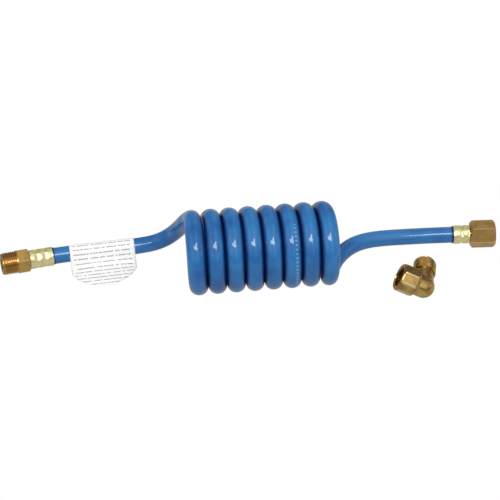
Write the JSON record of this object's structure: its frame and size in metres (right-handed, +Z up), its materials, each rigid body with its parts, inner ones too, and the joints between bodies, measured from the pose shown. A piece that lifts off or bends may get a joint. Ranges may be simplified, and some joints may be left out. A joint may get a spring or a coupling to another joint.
{
  "type": "coiled air hose",
  "caption": "Coiled plastic air hose with crimped brass ends, one male pipe thread and one swivel nut, and a loose brass street elbow.",
  "frame": {"origin": "middle of the footprint of everything, on the surface it lies on", "axes": "+X along the coil's axis from the male end to the swivel end, +Z up, -Y is the front"},
  "size_m": [0.387, 0.0896, 0.0636],
  "materials": {
    "hose": "gloss, slightly see-through blue",
    "ferrule_brass": "pale plated, crimped",
    "fitting_brass": "machined",
    "elbow_brass": "forged and machined",
    "label_film": "white film"
  },
  "bodies": {
    "outlet_end": {"hose_coil": "hose", "hose_outlet_tail": "hose", "outlet_ferrule": "ferrule_brass", "swivel_tailpiece": "fitting_brass"},
    "inlet_end": {"hose_inlet_tail": "hose", "inlet_ferrule": "ferrule_brass", "male_stem": "fitting_brass", "label_tag": "label_film"},
    "nut": {"swivel_nut": "fitting_brass"},
    "elbow": {"street_elbow": "elbow_brass"}
  },
  "joints": [
    {"name": "coil_stretch", "type": "slide", "parent": "outlet_end", "child": "inlet_end", "axis": [-1, 0, 0], "range_m": [0, 0.45], "stiffness_N_per_m": 20, "deforming": ["hose_coil"]},
    {"name": "nut_swivel", "type": "hinge", "parent": "outlet_end", "child": "nut", "pos_m": [0.18243, 0.01761, 0.01033], "axis": [0.9841, -0.1594, 0.0785], "continuous": true},
    {"name": "elbow_lift", "type": "slide", "parent": "outlet_end", "child": "elbow", "axis": [0, 0, 1], "range_m": [0, 0.1]}
  ]
}
